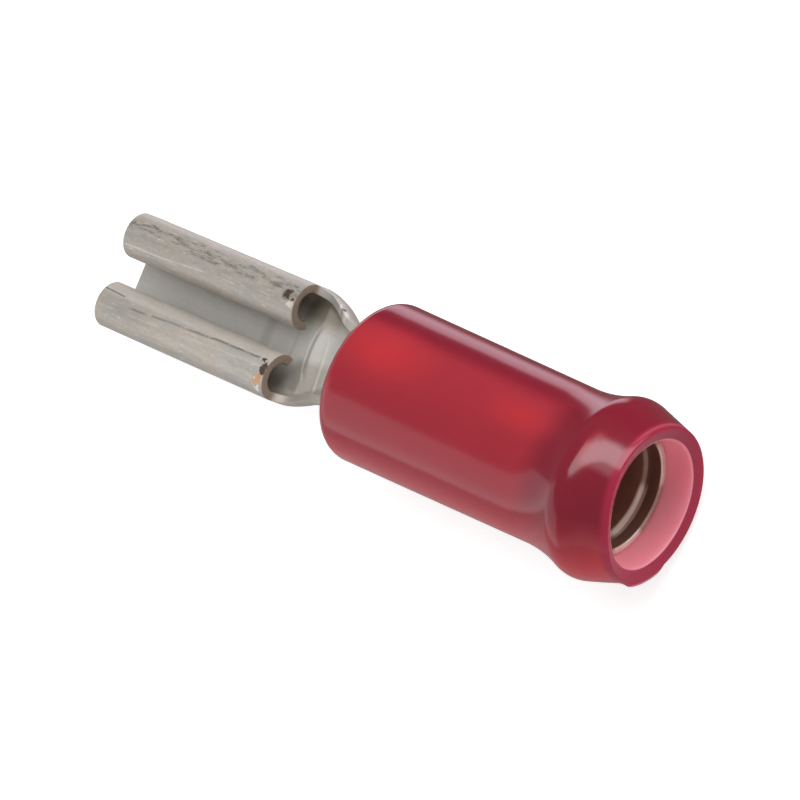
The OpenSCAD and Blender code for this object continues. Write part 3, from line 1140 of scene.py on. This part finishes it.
def rest_on_flats(mesh, sizes):
    """Presses the underside flat where the collar and the front edge lie on the floor."""
    front_c = Vector((-sizes.front_round, sizes.front / 2 - sizes.front_round))
    crest_c = Vector((sizes.collar_setback - sizes.length, sizes.collar / 2 - sizes.collar_round))
    between = front_c - crest_c
    depth = sizes.collar_round - sizes.collar_flat
    pitch = math.asin((depth - sizes.front_round + sizes.edge_flat) / between.length)
    pitch -= math.atan2(between.y, between.x)
    down = Vector((math.sin(pitch), 0, -math.cos(pitch)))
    centre = place(crest_c.x, 0, -crest_c.y)
    for vertex in mesh.vertices:
        over = (vertex.co - centre).dot(down) - depth
        if over > 0:
            vertex.co -= down * over


def press_mouth(mesh, sizes):
    """Makes the moulded mouth a little out of round on its upper side, as the photographed one is."""
    reach = 1.1 * MM
    bore = sizes.mouth_bore / 2
    wall = sizes.mouth / 2 - bore
    for vertex in mesh.vertices:
        around = Vector((0, vertex.co.y, vertex.co.z - AXIS_Z))
        along = FRONT_X - sizes.length + reach - vertex.co.x
        share = ease(along / reach) * max(0.0, around.normalized().dot(PRESSED_SIDE)) ** 2
        outward = min(1.0, max(0.0, (around.length - bore) / wall))
        vertex.co -= PRESSED_SIDE * share * mix(sizes.bore_press, sizes.rim_press, outward)


def draw_lip(mesh, sizes):
    """Draws a thin lip of flash out of the mouth's outer edge, low on its near side."""
    towards = Vector((0, 0.87, -0.5)).normalized()
    fades_at = 0.92
    full_at = 0.97
    reach = 0.22 * MM
    middle = (sizes.mouth + sizes.mouth_bore) / 4
    for vertex in mesh.vertices:
        around = Vector((0, vertex.co.y, vertex.co.z - AXIS_Z))
        along = FRONT_X - sizes.length + reach - vertex.co.x
        if along > 0 and around.length > middle:
            outward = around.normalized()
            share = ease((outward.dot(towards) - fades_at) / (full_at - fades_at))
            vertex.co += outward * sizes.lip * ease(along / reach) * share


def slant_front(mesh, sizes):
    """Cuts the front end back a little on its far upper side."""
    far = Vector((0, -0.7, 0.7)).normalized()
    reach = 1.4 * MM
    for vertex in mesh.vertices:
        around = Vector((0, vertex.co.y, vertex.co.z - AXIS_Z)).normalized()
        share = ease((vertex.co.x - FRONT_X + reach) / reach) * (1 + around.dot(far)) / 2
        vertex.co.x -= sizes.front_slant * share


def settle(piece, node):
    """Puts a finished piece in a node's place, on the one rigid body."""
    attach(piece, BODY)
    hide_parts(node)


# Operators

class ConnectorReceptacle(bpy.types.Operator):
    """Fold the tin-plated receptacle"""

    bl_idname = "connector.receptacle"
    bl_label = "Receptacle"

    def execute(self, context):
        sizes = context.scene.connector_receptacle
        finish = context.scene.connector_finishes
        piece = bpy.data.objects.new("receptacle_strip", folded_strip(sizes))
        context.scene.collection.objects.link(piece)
        bevel = piece.modifiers.new("edges", "BEVEL")
        bevel.width = sizes.edge_round
        bevel.segments = 3
        bevel.limit_method = "ANGLE"
        bevel.angle_limit = math.radians(50)
        bevel.use_clamp_overlap = True
        finished(piece)
        piece.data.materials.append(tin_plate(finish))
        settle(piece, "receptacle")
        return {"FINISHED"}


class ConnectorSupport(bpy.types.Operator):
    """Turn the copper support sleeve"""

    bl_idname = "connector.support"
    bl_label = "Support sleeve"

    def execute(self, context):
        sizes = context.scene.connector_support
        sleeve = context.scene.connector_sleeve
        finish = context.scene.connector_finishes
        rear = sleeve.mouth_depth - sleeve.length
        outline = filled_in(support_outline(sizes, rear), longest=0.25 * MM)
        piece = turned("support_tube", outline, sizes.segments, drawn_copper(finish, sizes, rear))
        settle(piece, "support_sleeve")
        return {"FINISHED"}


class ConnectorSleeve(bpy.types.Operator):
    """Mould the red nylon sleeve"""

    bl_idname = "connector.sleeve"
    bl_label = "Nylon sleeve"

    def execute(self, context):
        sizes = context.scene.connector_sleeve
        finish = context.scene.connector_finishes
        outline = filled_in(sleeve_outline(sizes), longest=0.2 * MM)
        piece = turned("nylon_sleeve", outline, sizes.segments, red_nylon(finish, sizes))
        press_mouth(piece.data, sizes)
        draw_lip(piece.data, sizes)
        slant_front(piece.data, sizes)
        rest_on_flats(piece.data, sizes)
        settle(piece, "insulating_sleeve")
        return {"FINISHED"}


class ConnectorStage(bpy.types.Operator):
    """Set the floor, the lamps and the camera"""

    bl_idname = "connector.stage"
    bl_label = "Stage"

    def execute(self, context):
        settings = context.scene.connector_studio
        self.add_floor(settings)
        self.add_surround(context.scene, settings)
        self.add_lamp(
            "side_lamp",
            direction=(0.63, 0.777, 0.48),
            distance=0.225,
            width=0.30,
            height=0.19,
            radiance=settings.side_lamp,
            level=True,
        )
        self.add_lamp(
            "top_lamp",
            direction=(-0.27, -0.68, 0.68),
            distance=0.15,
            width=0.065,
            height=0.34,
            radiance=settings.top_lamp,
        )
        self.add_camera(context.scene, settings)
        context.scene.view_settings.view_transform = "Standard"
        return {"FINISHED"}

    def add_floor(self, settings):
        size = 0.6
        mesh = bpy.data.meshes.new("floor")
        corners = [(-size, -size, 0), (size, -size, 0), (size, size, 0), (-size, size, 0)]
        mesh.from_pydata(corners, [], [(0, 1, 2, 3)])
        mesh.materials.append(pale_floor(settings.floor, settings.floor_white, settings.card))
        floor = bpy.data.objects.new("floor", mesh)
        bpy.context.scene.collection.objects.link(floor)

    def add_surround(self, scene, settings):
        """A plain surround that is dimmer low down behind the object."""
        graph = Graph(bpy.data.worlds.new("surround"))
        _, across, height = graph.split(graph.node("ShaderNodeTexCoord", None, None, "Generated"))
        foot = settings.horizon - (settings.horizon - settings.horizon_far) * graph.smooth(across, 0.2, -0.4)
        level = foot + (settings.ceiling - foot) * graph.smooth(height, 0.02, 0.35)
        shown = graph.node("ShaderNodeBackground", None, {"Color": (1.0, 1.0, 1.0), "Strength": level})
        scene.world = graph.ended(shown, "ShaderNodeOutputWorld")

    def add_lamp(self, name, direction, distance, width, height, radiance, level=False):
        """A rectangular lamp that faces the object, or stands upright where it is level."""
        lamp = bpy.data.lights.new(name, "AREA")
        lamp.shape = "RECTANGLE"
        lamp.size = width
        lamp.size_y = height
        lamp.energy = radiance * math.pi * width * height
        holder = bpy.data.objects.new(name, lamp)
        towards = Vector(direction).normalized()
        facing = Vector((towards.x, towards.y, 0)) if level else towards
        turn = facing.to_track_quat("Z", "Y").to_matrix().to_4x4()
        holder.matrix_world = Matrix.Translation(place(-3 * MM, 0, -AXIS_Z) + towards * distance) @ turn
        bpy.context.scene.collection.objects.link(holder)

    def add_camera(self, scene, settings):
        """A camera that stands and turns as the photograph's did."""
        camera = bpy.data.cameras.new("camera")
        camera.sensor_width = 36
        camera.lens = settings.lens
        camera.clip_start = 0.001
        camera.clip_end = 10
        holder = bpy.data.objects.new("camera", camera)
        right = Vector((-0.74059, -0.38612, -0.54994)).normalized()
        back = Vector((-0.58127, -0.04248, 0.8126)).normalized()
        up = back.cross(right).normalized()
        turn = Matrix((right, up, back)).transposed().to_4x4()
        eye = place(-72.734 * MM, -5.021 * MM, 99.791 * MM)
        holder.matrix_world = Matrix.Translation(eye) @ turn
        scene.collection.objects.link(holder)
        scene.camera = holder


class ConnectorPanel(bpy.types.Panel):
    """Lists the steps that build the connector"""

    bl_idname = "VIEW3D_PT_connector"
    bl_label = "Spade connector"
    bl_space_type = "VIEW_3D"
    bl_region_type = "UI"
    bl_category = "Connector"

    def draw(self, context):
        for operator in OPERATORS:
            self.layout.operator(operator.bl_idname)
        for name in SETTINGS:
            box = self.layout.box()
            group = getattr(context.scene, name)
            for key in group.bl_rna.properties.keys():
                if key not in {"rna_type", "name"}:
                    box.prop(group, key)


SETTINGS = {
    "connector_receptacle": ReceptacleSizes,
    "connector_support": SupportSizes,
    "connector_sleeve": SleeveSizes,
    "connector_finishes": Finishes,
    "connector_studio": StudioSettings,
}
OPERATORS = (ConnectorStage, ConnectorReceptacle, ConnectorSupport, ConnectorSleeve)


def register():
    for name, group in SETTINGS.items():
        bpy.utils.register_class(group)
        setattr(bpy.types.Scene, name, PointerProperty(type=group))
    for operator in OPERATORS:
        bpy.utils.register_class(operator)
    bpy.utils.register_class(ConnectorPanel)


def unregister():
    bpy.utils.unregister_class(ConnectorPanel)
    for operator in reversed(OPERATORS):
        bpy.utils.unregister_class(operator)
    for name, group in SETTINGS.items():
        delattr(bpy.types.Scene, name)
        bpy.utils.unregister_class(group)


def main():
    register()
    bpy.ops.connector.stage()
    bpy.ops.connector.receptacle()
    bpy.ops.connector.support()
    bpy.ops.connector.sleeve()


if __name__ == "__main__":
    main()
